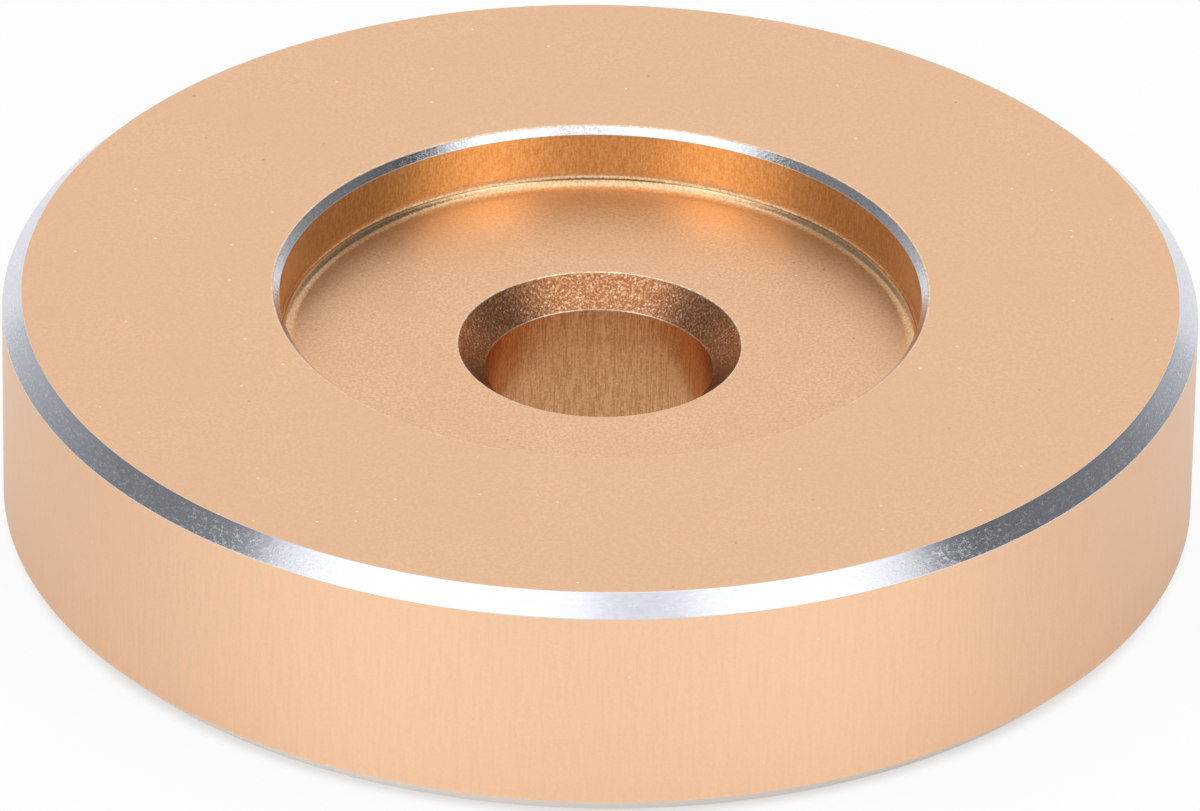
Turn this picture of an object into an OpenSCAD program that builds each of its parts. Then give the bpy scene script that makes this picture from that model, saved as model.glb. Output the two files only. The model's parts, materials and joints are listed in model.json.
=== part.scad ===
// Record spindle adapter: a turned disc that centres a large-hole 45 rpm record on a thin spindle.
// It is one piece. All sizes are millimetres. The origin is the centre of the underside, +Z up.

/* [Body] */
// Outside diameter, an easy fit in a record's 38.1 mm centre hole
body_d = 38.0; // [32:0.1:44]
// Height from the underside to the top face
body_h = 7.85; // [6:0.05:12]
// Width of the bright-cut 45 degree chamfer on the top and bottom outer edges
edge_chamfer = 0.6; // [0.2:0.05:1.5]

/* [Recess] */
// Diameter of the round recess in the top face
recess_d = 20.4; // [16:0.1:26]
// Depth of the recess floor below the top face
recess_depth = 2.05; // [1:0.05:3]
// Width of the bright-cut 45 degree chamfer on the recess rim
rim_chamfer = 0.23; // [0.05:0.01:0.6]
// Radius of the round that joins the recess wall to its floor
foot_r = 0.42; // [0.1:0.02:0.8]

/* [Spindle hole] */
// Diameter of the straight bore, an easy fit on a 7.2 mm spindle
bore_d = 7.25; // [6:0.05:9]
// Width of the 45 degree countersink in the recess floor, which leads the spindle in
countersink = 0.9; // [0.3:0.05:2]
// Width of the 45 degree chamfer that breaks the bore's edge on the underside
mouth_chamfer = 0.3; // [0.1:0.05:0.8]

/* [Hidden] */
body_r = body_d / 2;
recess_r = recess_d / 2;
bore_r = bore_d / 2;
floor_z = body_h - recess_depth;
// How far each cut runs past the face that it opens
past = 0.5;
// Facets of a full turn in the preview
$fn = 192;

// Half section of the plain disc, chamfered on both outer edges
module blank_section() {
    polygon([
        [0, 0],
        [body_r - edge_chamfer, 0],
        [body_r, edge_chamfer],
        [body_r, body_h - edge_chamfer],
        [body_r - edge_chamfer, body_h],
        [0, body_h]
    ]);
}

// Half section of the recess: a straight wall with a chamfered rim and a rounded foot
module recess_section() {
    polygon([
        [0, floor_z + foot_r],
        [recess_r, floor_z + foot_r],
        [recess_r, body_h - rim_chamfer],
        [recess_r + rim_chamfer + past, body_h + past],
        [0, body_h + past]
    ]);
    translate([0, floor_z])
        square([recess_r - foot_r, recess_depth]);
    translate([recess_r - foot_r, floor_z + foot_r])
        circle(r = foot_r);
}

// Half section of the spindle hole: countersunk above, with its edge broken below
module hole_section() {
    polygon([
        [0, -past],
        [bore_r + mouth_chamfer + past, -past],
        [bore_r, mouth_chamfer],
        [bore_r, floor_z - countersink],
        [bore_r + countersink + past, floor_z + past],
        [0, floor_z + past]
    ]);
}

// The adapter, turned from one bar
module adapter() {
    color([0.90, 0.75, 0.61])
        rotate_extrude()
            difference() {
                blank_section();
                recess_section();
                hole_section();
            }
}

adapter();
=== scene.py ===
"""Looks of the record spindle adapter.

It is a turned, bead-blasted and gold-anodised aluminium disc with bright-cut edges.
"""
import json
import math

import bpy
from mathutils import Matrix, Vector


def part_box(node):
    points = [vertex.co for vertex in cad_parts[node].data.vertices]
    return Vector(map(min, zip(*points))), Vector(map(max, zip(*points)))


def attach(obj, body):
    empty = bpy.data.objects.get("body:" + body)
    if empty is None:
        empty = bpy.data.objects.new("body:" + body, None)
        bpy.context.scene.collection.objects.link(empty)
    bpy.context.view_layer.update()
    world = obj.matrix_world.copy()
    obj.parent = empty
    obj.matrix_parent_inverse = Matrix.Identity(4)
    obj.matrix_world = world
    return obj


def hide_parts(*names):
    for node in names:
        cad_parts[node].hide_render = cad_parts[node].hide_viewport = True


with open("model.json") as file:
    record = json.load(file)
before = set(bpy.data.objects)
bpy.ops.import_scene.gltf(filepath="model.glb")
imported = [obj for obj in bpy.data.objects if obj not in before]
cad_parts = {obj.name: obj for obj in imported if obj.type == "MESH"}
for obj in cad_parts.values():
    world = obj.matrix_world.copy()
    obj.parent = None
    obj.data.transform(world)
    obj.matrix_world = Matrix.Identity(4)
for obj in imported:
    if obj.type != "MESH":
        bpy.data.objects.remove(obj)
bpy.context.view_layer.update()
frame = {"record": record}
scene = bpy.context.scene

MM = 0.001
NODE = "adapter"
mounts = {mount["name"]: mount for mount in frame["record"]["mounts"]}

# Sizes of the turned section, in metres. The outside and the bore come from the frame.
BODY_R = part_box(NODE)[1].x
BODY_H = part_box(NODE)[1].z
BORE_R = mounts["bore"]["dims"]["r_mm"] * MM
EDGE_CHAMFER = 0.6 * MM
RECESS_R = 10.2 * MM
RECESS_DEPTH = 2.05 * MM
RIM_CHAMFER = 0.23 * MM
FOOT_R = 0.42 * MM
COUNTERSINK = 0.9 * MM
MOUTH_CHAMFER = 0.3 * MM
FLOOR_Z = BODY_H - RECESS_DEPTH
# Radius that the cutter and the blasting leave on a sharp edge
LIP_R = 0.03 * MM
RIM_LIP_R = 0.10 * MM
SINK_LIP_R = 0.08 * MM

# Steps round a full turn, round a lip and round the recess foot
TURN_STEPS = 720
LIP_STEPS = 4
FOOT_STEPS = 16

# The camera, from the photograph
CAMERA_DISTANCE = 442.2 * MM
CAMERA_ELEVATION = math.radians(30.916)
CAMERA_ROLL = math.radians(0.985)
AIM = Vector((0.044, 0, 3.503)) * MM
FRAME_WIDTH_PX = 1200
FOCAL_PX = 13852.4
SENSOR_WIDTH_MM = 36.0

# Screen colours of the anodised gold, zone by zone
GOLD = (229, 187, 150)
GOLD_WALL = (250, 208, 170)
GOLD_DEEP = (246, 195, 136)
GOLD_FOOT = (234, 192, 148)
GOLD_BORE = (214, 162, 114)
GOLD_SINK = (196, 140, 101)
# Screen colours of its clouds, its painted glints, the painted shade in its pits and the painted shade in its
# crease
CLOUD = (225, 182, 145)
PAINTED_SPARKLE = (255, 236, 205)
WALL_PAINTED_SPARKLE = (255, 232, 200)
SINK_PAINTED_GLINT = (255, 228, 202)
PAINTED_PIT_SHADE = (140, 100, 70)
PAINTED_CREASE_SHADE = (120, 84, 52)
# Screen colours of the bare cut metal: plain, scuffed, in the cutting lines, and a painted warm reflection
# low on the lower chamfer
BARE = (229, 231, 240)
BARE_SCUFF = (252, 252, 254)
BARE_LINE = (220, 223, 233)
BARE_PAINTED_WARM_REFLECTION = (244, 228, 208)
# Screen colours of the sharp edges, painted pale as a highlight, darkest and lightest
RIM_LIP = ((224, 188, 158), (244, 222, 204))
SINK_LIP = ((222, 180, 144), (255, 240, 222))

# Grains along a millimetre, for each kind of surface
BLAST_GRAIN = 11.0
SATIN_GRAIN = 12.0
FOOT_GRAIN = 12.0
SINK_GRAIN = 13.0
LIP_GRAIN = 9.0
# Depth of the grain and of the cutting lines
GRAIN_DEPTH = 0.006 * MM
SINK_DEPTH = 0.014 * MM
LINE_DEPTH = 0.0012 * MM
SATIN_DEPTH = 0.003 * MM
WALL_DEPTH = 0.0015 * MM

# The floor and the world
FLOOR_COLOUR = (0.8, 0.8, 0.8, 1.0)
FLOOR_HALF = 3.0
WORLD_STRENGTH = 0.9
# White share of the floor as metal sees it, painting light and shade on the floor: full in front, less
# behind, and less again in the bore
FLOOR_FRONT_Y = (-24 * MM, -2 * MM)
FLOOR_BEHIND = 0.1
FLOOR_IN_BORE = 0.55
# The same at the foot of the wall, as painted shade at its left and at its right, back to full at the shade's
# width
FLOOR_SHADE = (0.6, 0.3)
FLOOR_SHADE_X = (-14 * MM, 16 * MM)
FLOOR_SHADE_WIDTH = 9 * MM
# White share of the floor for the camera: under the piece and past its contact shadow
FLOOR_SEEN = (0.5, 0.89)
CONTACT_WIDTH = 0.7 * MM

# Lamps: name, place, size, and radiance on top of the white world behind it
LAMPS = [
    ("overhead_softbox", (0, 0, 0.5), (0.87, 0.95), 0.3),
    ("front_left_softbox", (-0.28, -0.32, 0.31), (0.17, 0.16), 1.35),
    ("front_right_softbox", (0.28, -0.32, 0.31), (0.17, 0.16), 1.35),
    ("front_left_strip", (-0.33, -0.42, 0.055), (0.35, 0.1), 0.6),
    ("front_right_strip", (0.33, -0.42, 0.055), (0.35, 0.1), 0.6),
    ("front_strip", (0, -0.55, 0.06), (0.36, 0.1), 0.2),
]
# Cards: name, distance, azimuths, elevations, and glow at the lower and the upper edge.
# Azimuth 0 is the camera's side, growing to the right. All angles are in degrees.
CARD_STEPS = (24, 12)
CARD_COLOUR = (0.97, 0.98, 1.0, 1.0)
CARDS = [
    ("left_wall", 0.25, (-71.5, -147), (27, 60), (0.22, 0.22)),
    ("left_wall_foot", 0.25, (-71.5, -145), (5, 27), (0.62, 0.30)),
    ("right_wall", 0.25, (72, 147), (27, 60), (0.21, 0.06)),
    ("right_wall_foot", 0.25, (72, 145), (5, 27), (0.58, 0.21)),
    ("front_wall", 0.6, (-22, 22), (23, 40), (0.25, 0.25)),
    ("front_top", 0.6, (0, 24), (54, 63), (0.55, 0.55)),
]


class Shader:
    """A material's node tree, with short calls for the nodes used here."""

    def __init__(self, name):
        self.material = bpy.data.materials.new(name)
        self.material.use_nodes = True
        self.tree = self.material.node_tree
        self.tree.nodes.clear()
        self.output = self.tree.nodes.new("ShaderNodeOutputMaterial")

    def node(self, kind, inputs=None, **settings):
        made = self.tree.nodes.new("ShaderNode" + kind)
        for key, value in settings.items():
            setattr(made, key, value)
        for key, value in (inputs or {}).items():
            self.plug(value, made.inputs[key])
        return made

    def plug(self, value, socket):
        if isinstance(value, bpy.types.NodeSocket):
            self.tree.links.new(value, socket)
        else:
            socket.default_value = value

    def math(self, operation, a, b=0.0):
        return self.node("Math", {0: a, 1: b}, operation=operation).outputs[0]

    def ramp(self, value, low, high, to_low=0.0, to_high=1.0):
        """Value from low..high to to_low..to_high, held at both ends, with an easy start and end."""
        inputs = {"Value": value, "From Min": low, "From Max": high, "To Min": to_low, "To Max": to_high}
        return self.node("MapRange", inputs, interpolation_type="SMOOTHSTEP").outputs[0]

    def mix(self, factor, a, b):
        made = self.node("Mix", data_type="RGBA")
        colours = [socket for socket in made.inputs if socket.type == "RGBA"]
        self.plug(factor, made.inputs[0])
        self.plug(a, colours[0])
        self.plug(b, colours[1])
        return next(socket for socket in made.outputs if socket.type == "RGBA")

    def place_mm(self, stretch=(1, 1, 1)):
        """The point on the piece in millimetres, each axis times its stretch."""
        coordinates = self.node("TexCoord").outputs["Object"]
        scale = Vector(stretch) / MM
        return self.node("Mapping", {"Vector": coordinates, "Scale": scale}).outputs[0]

    def noise(self, place, scale, detail=2.0, roughness=0.5):
        inputs = {"Vector": place, "Scale": scale, "Detail": detail, "Roughness": roughness}
        return self.node("TexNoise", inputs).outputs[0]

    def specks(self, place, scale, size, share):
        """1 inside sparse round specks: one cell in every 1/share has one of that size, in cell widths."""
        cells = self.node("TexVoronoi", {"Vector": place, "Scale": scale})
        chosen = self.node("SeparateColor", {0: cells.outputs["Color"]}).outputs[0]
        inside = self.ramp(cells.outputs["Distance"], size * 0.4, size, 1.0, 0.0)
        return self.math("MULTIPLY", inside, self.math("LESS_THAN", chosen, share))

    def bump(self, height, distance, normal=None):
        inputs = {"Height": height, "Distance": distance, "Strength": 1.0}
        if normal is not None:
            inputs["Normal"] = normal
        return self.node("Bump", inputs).outputs[0]

    def metal(self, colour, roughness, normal, **extra):
        inputs = {"Base Color": colour, "Roughness": roughness, "Metallic": 1.0, "Normal": normal}
        inputs.update({key.replace("_", " "): value for key, value in extra.items()})
        shader = self.node("BsdfPrincipled", inputs)
        self.tree.links.new(shader.outputs[0], self.output.inputs[0])
        return self.material


def rgb(red, green, blue):
    """A colour given as 0 to 255 screen values, as the linear values that nodes take."""
    def linear(value):
        value /= 255
        return value / 12.92 if value <= 0.04045 else ((value + 0.055) / 1.055) ** 2.4

    return linear(red), linear(green), linear(blue), 1.0


def near(colour, step):
    """The screen colour, made paler or darker by the same step in each channel."""
    return rgb(*(min(255, value + step) for value in colour))


def blasted_gold(name, step, roughness):
    """Bead-blasted and anodised: an even fine grain, with a few painted glints and specks of painted shade in
    pits.
    """
    s = Shader(name)
    place = s.place_mm()
    grain = s.noise(place, BLAST_GRAIN, detail=3.0, roughness=0.6)
    cloud = s.noise(place, scale=0.35)
    painted_sparkle = s.specks(place, scale=1.6, size=0.10, share=0.22)
    painted_pit_shade = s.specks(place, scale=2.1, size=0.13, share=0.04)
    colour = s.mix(s.ramp(grain, 0.32, 0.68), near(GOLD, -step), near(GOLD, step))
    colour = s.mix(s.ramp(cloud, 0.3, 0.7, 0.0, 0.4), colour, rgb(*CLOUD))
    # Painted glints, and specks of painted shade in pits.
    colour = s.mix(s.math("MULTIPLY", painted_sparkle, 0.8), colour, rgb(*PAINTED_SPARKLE))
    colour = s.mix(s.math("MULTIPLY", painted_pit_shade, 0.5), colour, rgb(*PAINTED_PIT_SHADE))
    normal = s.bump(grain, GRAIN_DEPTH)
    return s.metal(colour, s.ramp(grain, 0.2, 0.8, roughness - 0.05, roughness + 0.05), normal)


def satin_gold(name, base, streak, step, depth, roughness, anisotropic, **extra):
    """A turned wall after blasting: fine grain, with streaks drawn out along the axis.

    streak holds the streaks along a millimetre on each axis, and step how far they stray from
    the base colour. The tool marks run round the wall, so they spread reflections up and down
    more than sideways.
    """
    s = Shader(name)
    streaks = s.noise(s.place_mm(streak), scale=1.0, detail=3.0, roughness=0.65)
    grain = s.noise(s.place_mm(), SATIN_GRAIN)
    texture = s.math("ADD", s.math("MULTIPLY", streaks, 0.6), s.math("MULTIPLY", grain, 0.4))
    colour = s.mix(s.ramp(texture, 0.38, 0.62), near(base, -step), near(base, step))
    # Painted glints on the turned surface.
    painted_sparkle = s.specks(s.place_mm(), scale=1.9, size=0.09, share=0.10)
    colour = s.mix(s.math("MULTIPLY", painted_sparkle, 0.7), colour, rgb(*WALL_PAINTED_SPARKLE))
    normal = s.bump(texture, depth)
    tangent = s.node("Tangent", direction_type="RADIAL", axis="Z").outputs[0]
    spread = s.ramp(streaks, 0.3, 0.7, roughness - 0.04, roughness + 0.04)
    extra.update(Tangent=tangent, Anisotropic=anisotropic, Anisotropic_Rotation=0.25)
    return s.metal(colour, spread, normal, **extra)


def foot_gold():
    """The round at the foot of the recess wall, with a faint crease that the blasting left, drawn as a thin
    line of painted shade.
    """
    s = Shader("foot_gold")
    grit = s.noise(s.place_mm(), FOOT_GRAIN, detail=3.0, roughness=0.6)
    height = s.node("SeparateXYZ", {0: s.place_mm()}).outputs[2]
    # A thin dark line of painted shade along the crease.
    level = s.math("ADD", height, s.math("MULTIPLY", s.math("SUBTRACT", grit, 0.5), 0.08))
    crease_z = (FLOOR_Z + 0.48 * FOOT_R) / MM
    half_width = 0.035
    above = s.ramp(level, crease_z, crease_z + half_width, 1.0, 0.0)
    below = s.ramp(level, crease_z - half_width, crease_z, 0.0, 1.0)
    painted_crease_shade = s.math("MULTIPLY", above, below)
    colour = s.mix(s.ramp(grit, 0.35, 0.65), near(GOLD_FOOT, -14), near(GOLD_FOOT, 14))
    colour = s.mix(s.math("MULTIPLY", painted_crease_shade, 0.7), colour, rgb(*PAINTED_CREASE_SHADE))
    normal = s.bump(grit, GRAIN_DEPTH)
    foot_z, foot_r = FLOOR_Z / MM, FOOT_R / MM
    low_part = s.ramp(height, foot_z, foot_z + 0.2 * foot_r, 0.42, 0.20)
    spread = s.math("ADD", low_part, s.ramp(height, foot_z + 0.6 * foot_r, foot_z + foot_r, 0.0, 0.08))
    return s.metal(colour, spread, normal)


def bright_cut(name, mottle, share, scuff_depth, roughness, top_kept=1.0, clean_front=False):
    """Bare aluminium, cut with a diamond after anodising: bright, with lines and scuffs along the cut.

    mottle holds the scuffs along a millimetre on each axis, and share the noise values from which
    they start and are full. A band at the upper edge keeps only the share top_kept of them, and
    clean_front thins them out at the front. The roughness is given for clean metal and for scuffs.
    """
    s = Shader(name)
    lines = s.noise(s.place_mm((1.2, 1.2, 20.0)), scale=1.0, detail=4.0, roughness=0.6)
    scuffs = s.noise(s.place_mm(mottle), scale=1.0, detail=4.0, roughness=0.7)
    height = s.node("SeparateXYZ", {0: s.place_mm()}).outputs[2]
    top = BODY_H / MM
    kept = s.ramp(height, top - 0.14, top - 0.03, 1.0, top_kept)
    if clean_front:
        aside = s.math("ABSOLUTE", s.node("SeparateXYZ", {0: s.place_mm()}).outputs[0])
        kept = s.math("MULTIPLY", kept, s.ramp(aside, 4.0, 9.0, 0.25, 1.0))
    scuffed = s.math("MULTIPLY", s.ramp(scuffs, *share), kept)
    colour = s.mix(scuffed, rgb(*BARE), rgb(*BARE_SCUFF))
    colour = s.mix(s.ramp(lines, 0.35, 0.65, 0.0, 0.4), colour, rgb(*BARE_LINE))
    # Painted reflection: the lower chamfer is painted with the warm light between the wall and the floor.
    colour = s.mix(s.ramp(height, 0.6, 1.2, 0.7, 0.0), colour, rgb(*BARE_PAINTED_WARM_REFLECTION))
    normal = s.bump(lines, LINE_DEPTH, s.bump(scuffed, scuff_depth))
    return s.metal(colour, s.ramp(scuffed, 0.0, 1.0, *roughness), normal)


def gritty_sink():
    """The countersink: coarse grit that breaks up the reflections, its colour partly real grain and partly
    painted shade in the pits and painted glints.
    """
    s = Shader("gritty_sink")
    grit = s.noise(s.place_mm(), SINK_GRAIN, detail=3.0, roughness=0.7)
    # Real grain with painted light: the dark grains are painted shade in the pits, the light grains and the
    # specks painted glints.
    colour = s.mix(s.ramp(grit, 0.44, 0.66), near(GOLD_SINK, -32), near(GOLD_SINK, 38))
    painted_glint = s.specks(s.place_mm(), scale=9.0, size=0.42, share=0.30)
    colour = s.mix(s.math("MULTIPLY", painted_glint, 0.7), colour, rgb(*SINK_PAINTED_GLINT))
    normal = s.bump(grit, SINK_DEPTH)
    return s.metal(colour, 0.30, normal)


def painted_highlight_lip(name, darkest, lightest):
    """A blasted sharp edge, painted pale as a highlight along it; its rounding also catches real highlights.
    """
    s = Shader(name)
    grit = s.noise(s.place_mm(), LIP_GRAIN, detail=3.0, roughness=0.7)
    colour = s.mix(s.ramp(grit, 0.42, 0.62), rgb(*darkest), rgb(*lightest))
    normal = s.bump(grit, GRAIN_DEPTH)
    return s.metal(colour, 0.30, normal)


def section():
    """The closed turned outline, corner by corner.

    Each corner has its radius and height, the radius and steps of its rounding, the finish of
    that rounding, and the finish of the run to the next corner.
    """
    rim_r = RECESS_R + RIM_CHAMFER
    return [
        (BORE_R + MOUTH_CHAMFER, 0, LIP_R, LIP_STEPS, "underside", "underside"),
        (BODY_R - EDGE_CHAMFER, 0, LIP_R, LIP_STEPS, "edge", "edge"),
        (BODY_R, EDGE_CHAMFER, LIP_R, LIP_STEPS, "edge", "wall"),
        (BODY_R, BODY_H - EDGE_CHAMFER, LIP_R, LIP_STEPS, "edge", "edge"),
        (BODY_R - EDGE_CHAMFER, BODY_H, LIP_R, LIP_STEPS, "edge", "face"),
        (rim_r, BODY_H, RIM_LIP_R, LIP_STEPS, "rim_lip", "rim"),
        (RECESS_R, BODY_H - RIM_CHAMFER, LIP_R, LIP_STEPS, "rim", "recess_wall"),
        (RECESS_R, FLOOR_Z, FOOT_R, FOOT_STEPS, "foot", "recess_floor"),
        (BORE_R + COUNTERSINK, FLOOR_Z, SINK_LIP_R, LIP_STEPS, "sink_lip", "sink"),
        (BORE_R, FLOOR_Z - COUNTERSINK, SINK_LIP_R, LIP_STEPS, "sink_lip", "bore"),
        (BORE_R, MOUTH_CHAMFER, LIP_R, LIP_STEPS, "bore", "bore"),
    ]


def rounded_outline(corners):
    """Points (radius, height), outward normals and finishes along the outline, with each corner as an arc."""
    points, normals, finishes = [], [], []
    count = len(corners)
    for i, (r, z, corner_r, steps, corner_finish, run_finish) in enumerate(corners):
        here = Vector((r, z))
        before = (here - Vector(corners[i - 1][:2])).normalized()
        after = (Vector(corners[(i + 1) % count][:2]) - here).normalized()
        turn = before.angle_signed(after)
        # Normals stand to the right of the way along the outline, which keeps the metal on its left.
        start_normal = Vector((before.y, -before.x))
        side = 1 if before.cross(after) > 0 else -1
        setback = corner_r * math.tan(abs(turn) / 2)
        centre = here - before * setback - start_normal * corner_r * side
        for step in range(steps + 1):
            angle = side * abs(turn) * step / steps
            normal = Matrix.Rotation(angle, 2) @ start_normal
            points.append(centre + normal * corner_r * side)
            normals.append(normal)
            finishes.append(corner_finish if step < steps else run_finish)
    return points, normals, finishes


def turned_piece(name, materials):
    """The whole outline turned round the axis, one mesh with exact normals."""
    points, normals, finishes = rounded_outline(section())
    count = len(points)
    slots = list(materials)
    vertices, vertex_normals, faces, face_slots = [], [], [], []
    for step in range(TURN_STEPS):
        angle = 2 * math.pi * step / TURN_STEPS
        cosine, sine = math.cos(angle), math.sin(angle)
        for point, normal in zip(points, normals):
            vertices.append((point.x * cosine, point.x * sine, point.y))
            vertex_normals.append((normal.x * cosine, normal.x * sine, normal.y))
        for k in range(count):
            a, b = step * count + k, step * count + (k + 1) % count
            shift = count * ((step + 1) % TURN_STEPS - step)
            faces.append((a, a + shift, b + shift, b))
            face_slots.append(slots.index(finishes[k]))
    mesh = bpy.data.meshes.new(name)
    mesh.from_pydata(vertices, [], faces)
    for finish in slots:
        mesh.materials.append(materials[finish])
    mesh.polygons.foreach_set("material_index", face_slots)
    mesh.polygons.foreach_set("use_smooth", [True] * len(faces))
    mesh.normals_split_custom_set_from_vertices(vertex_normals)
    mesh.update()
    piece = bpy.data.objects.new(name, mesh)
    scene.collection.objects.link(piece)
    return piece


def build_adapter():
    finishes = {
        "face": blasted_gold("blasted_face", 5, 0.38),
        "recess_floor": blasted_gold("blasted_floor", 11, 0.42),
        "wall": satin_gold(
            "satin_wall", GOLD_WALL, (9, 9, 0.7), 2.5, WALL_DEPTH, 0.52, 0.6,
            Coat_Weight=0.6, Coat_Roughness=0.4,
        ),
        "recess_wall": satin_gold("satin_recess", GOLD_DEEP, (14, 14, 3.0), 16, SATIN_DEPTH, 0.22, 0.3),
        "bore": satin_gold("satin_bore", GOLD_BORE, (14, 14, 1.2), 19, SATIN_DEPTH, 0.27, 0.6),
        "underside": satin_gold("satin_underside", GOLD, (2, 2, 2), 3, SATIN_DEPTH, 0.42, 0.0),
        "foot": foot_gold(),
        "edge": bright_cut(
            "bright_edge", mottle=(5.5, 5.5, 12.0), share=(0.44, 0.72), scuff_depth=0.0013 * MM,
            roughness=(0.18, 0.32), top_kept=0.2, clean_front=True,
        ),
        "rim": bright_cut(
            "bright_rim", mottle=(9.0, 9.0, 14.0), share=(0.40, 0.64), scuff_depth=0.0015 * MM,
            roughness=(0.08, 0.18),
        ),
        "sink": gritty_sink(),
        "rim_lip": painted_highlight_lip("painted_highlight_rim_lip", *RIM_LIP),
        "sink_lip": painted_highlight_lip("painted_highlight_sink_lip", *SINK_LIP),
    }
    piece = turned_piece("turned_adapter", finishes)
    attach(piece, "root")
    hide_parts(NODE)


def white_to_eyes(tree, plain, share_camera, share_mirror):
    """Mixes a plain white glow into a shader for camera rays and for rays off metal or through glass."""
    path = tree.nodes.new("ShaderNodeLightPath")
    shares = [
        ("Is Camera Ray", share_camera),
        ("Is Glossy Ray", share_mirror),
        ("Is Transmission Ray", share_mirror),
    ]
    total = None
    for name, share in shares:
        part = tree.nodes.new("ShaderNodeMath")
        part.operation = "MULTIPLY_ADD"
        tree.links.new(path.outputs[name], part.inputs[0])
        part.inputs[2].default_value = 0.0
        if isinstance(share, bpy.types.NodeSocket):
            tree.links.new(share, part.inputs[1])
        else:
            part.inputs[1].default_value = share
        if total is not None:
            tree.links.new(total, part.inputs[2])
        total = part.outputs[0]
    glow = tree.nodes.new("ShaderNodeEmission")
    glow.inputs["Strength"].default_value = 1.0
    mixed = tree.nodes.new("ShaderNodeMixShader")
    tree.links.new(total, mixed.inputs[0])
    tree.links.new(plain, mixed.inputs[1])
    tree.links.new(glow.outputs[0], mixed.inputs[2])
    return mixed.outputs[0]


def build_floor():
    s = Shader("white_floor")
    plain = s.node("BsdfDiffuse", {"Color": FLOOR_COLOUR}).outputs[0]
    point = s.node("TexCoord").outputs["Object"]
    x, y, _ = s.node("SeparateXYZ", {0: point}).outputs
    radius = s.node("VectorMath", {0: point}, operation="LENGTH").outputs[1]
    # Painted light and shade on the floor as metal sees it: lighter in front, darker behind, at the foot of
    # the wall and in the bore.
    front = s.ramp(y, *FLOOR_FRONT_Y, 1.0, FLOOR_BEHIND)
    at_wall = s.ramp(x, *FLOOR_SHADE_X, *FLOOR_SHADE)
    contact = s.ramp(radius, BODY_R, BODY_R + FLOOR_SHADE_WIDTH, at_wall, 1.0)
    mirrored = s.ramp(radius, BORE_R, BODY_R, FLOOR_IN_BORE, s.math("MULTIPLY", front, contact))
    shadow_r = BODY_R - EDGE_CHAMFER
    seen = s.ramp(radius, shadow_r, shadow_r + CONTACT_WIDTH, *FLOOR_SEEN)
    s.tree.links.new(white_to_eyes(s.tree, plain, seen, mirrored), s.output.inputs[0])
    corners = [(side * FLOOR_HALF, end * FLOOR_HALF, 0) for side, end in ((-1, -1), (1, -1), (1, 1), (-1, 1))]
    mesh = bpy.data.meshes.new("floor")
    mesh.from_pydata(corners, [], [(0, 1, 2, 3)])
    mesh.materials.append(s.material)
    floor = bpy.data.objects.new("floor", mesh)
    scene.collection.objects.link(floor)


def build_world():
    world = bpy.data.worlds.new("studio")
    scene.world = world
    world.use_nodes = True
    tree = world.node_tree
    tree.nodes.clear()
    output = tree.nodes.new("ShaderNodeOutputWorld")
    plain = tree.nodes.new("ShaderNodeBackground")
    plain.inputs["Color"].default_value = (1, 1, 1, 1)
    plain.inputs["Strength"].default_value = WORLD_STRENGTH
    tree.links.new(white_to_eyes(tree, plain.outputs[0], 1.0, 1.0), output.inputs[0])


def card(name, distance, azimuths, elevations, glow):
    """A curved card round the object, with its glow at the lower and the upper edge."""
    across, up = CARD_STEPS
    vertices, faces = [], []
    for i in range(up + 1):
        elevation = math.radians(elevations[0] + (elevations[1] - elevations[0]) * i / up)
        for k in range(across + 1):
            azimuth = math.radians(azimuths[0] + (azimuths[1] - azimuths[0]) * k / across)
            level = distance * math.cos(elevation)
            height = distance * math.sin(elevation)
            vertices.append((level * math.sin(azimuth), -level * math.cos(azimuth), height))
    for i in range(up):
        for k in range(across):
            a = i * (across + 1) + k
            faces.append((a, a + 1, a + across + 2, a + across + 1))
    s = Shader(name)
    place_z = s.node("SeparateXYZ", {0: s.node("TexCoord").outputs["Object"]}).outputs[2]
    ends = [distance * math.sin(math.radians(elevation)) for elevation in elevations]
    strength = s.ramp(place_z, *ends, *glow)
    emission = s.node("Emission", {"Color": CARD_COLOUR, "Strength": strength})
    s.tree.links.new(emission.outputs[0], s.output.inputs[0])
    mesh = bpy.data.meshes.new(name)
    mesh.from_pydata(vertices, [], faces)
    mesh.materials.append(s.material)
    made = bpy.data.objects.new(name, mesh)
    scene.collection.objects.link(made)
    made.visible_camera = False
    made.visible_shadow = False
    made.visible_diffuse = False


def softbox(name, place, size, radiance):
    """A rectangular lamp that faces the object."""
    lamp = bpy.data.lights.new(name, "AREA")
    lamp.shape = "RECTANGLE"
    lamp.size, lamp.size_y = size
    lamp.energy = radiance * math.pi * size[0] * size[1]
    made = bpy.data.objects.new(name, lamp)
    made.location = place
    made.rotation_euler = Vector(place).to_track_quat("Z", "Y").to_euler()
    made.visible_camera = False
    scene.collection.objects.link(made)


def build_lights():
    for name, place, size, radiance in LAMPS:
        softbox(name, place, size, radiance)
    for name, distance, azimuths, elevations, glow in CARDS:
        card(name, distance, azimuths, elevations, glow)


def build_camera():
    data = bpy.data.cameras.new("camera")
    data.sensor_width = SENSOR_WIDTH_MM
    data.sensor_fit = "HORIZONTAL"
    data.lens = FOCAL_PX / FRAME_WIDTH_PX * SENSOR_WIDTH_MM
    data.clip_start = 0.01
    camera = bpy.data.objects.new("camera", data)
    scene.collection.objects.link(camera)
    away = Vector((0, -math.cos(CAMERA_ELEVATION), math.sin(CAMERA_ELEVATION)))
    turn = away.to_track_quat("Z", "Y").to_matrix() @ Matrix.Rotation(CAMERA_ROLL, 3, "Z")
    camera.matrix_world = Matrix.Translation(AIM + away * CAMERA_DISTANCE) @ turn.to_4x4()
    scene.camera = camera


build_adapter()
build_floor()
build_world()
build_lights()
build_camera()
scene.view_settings.view_transform = "Standard"
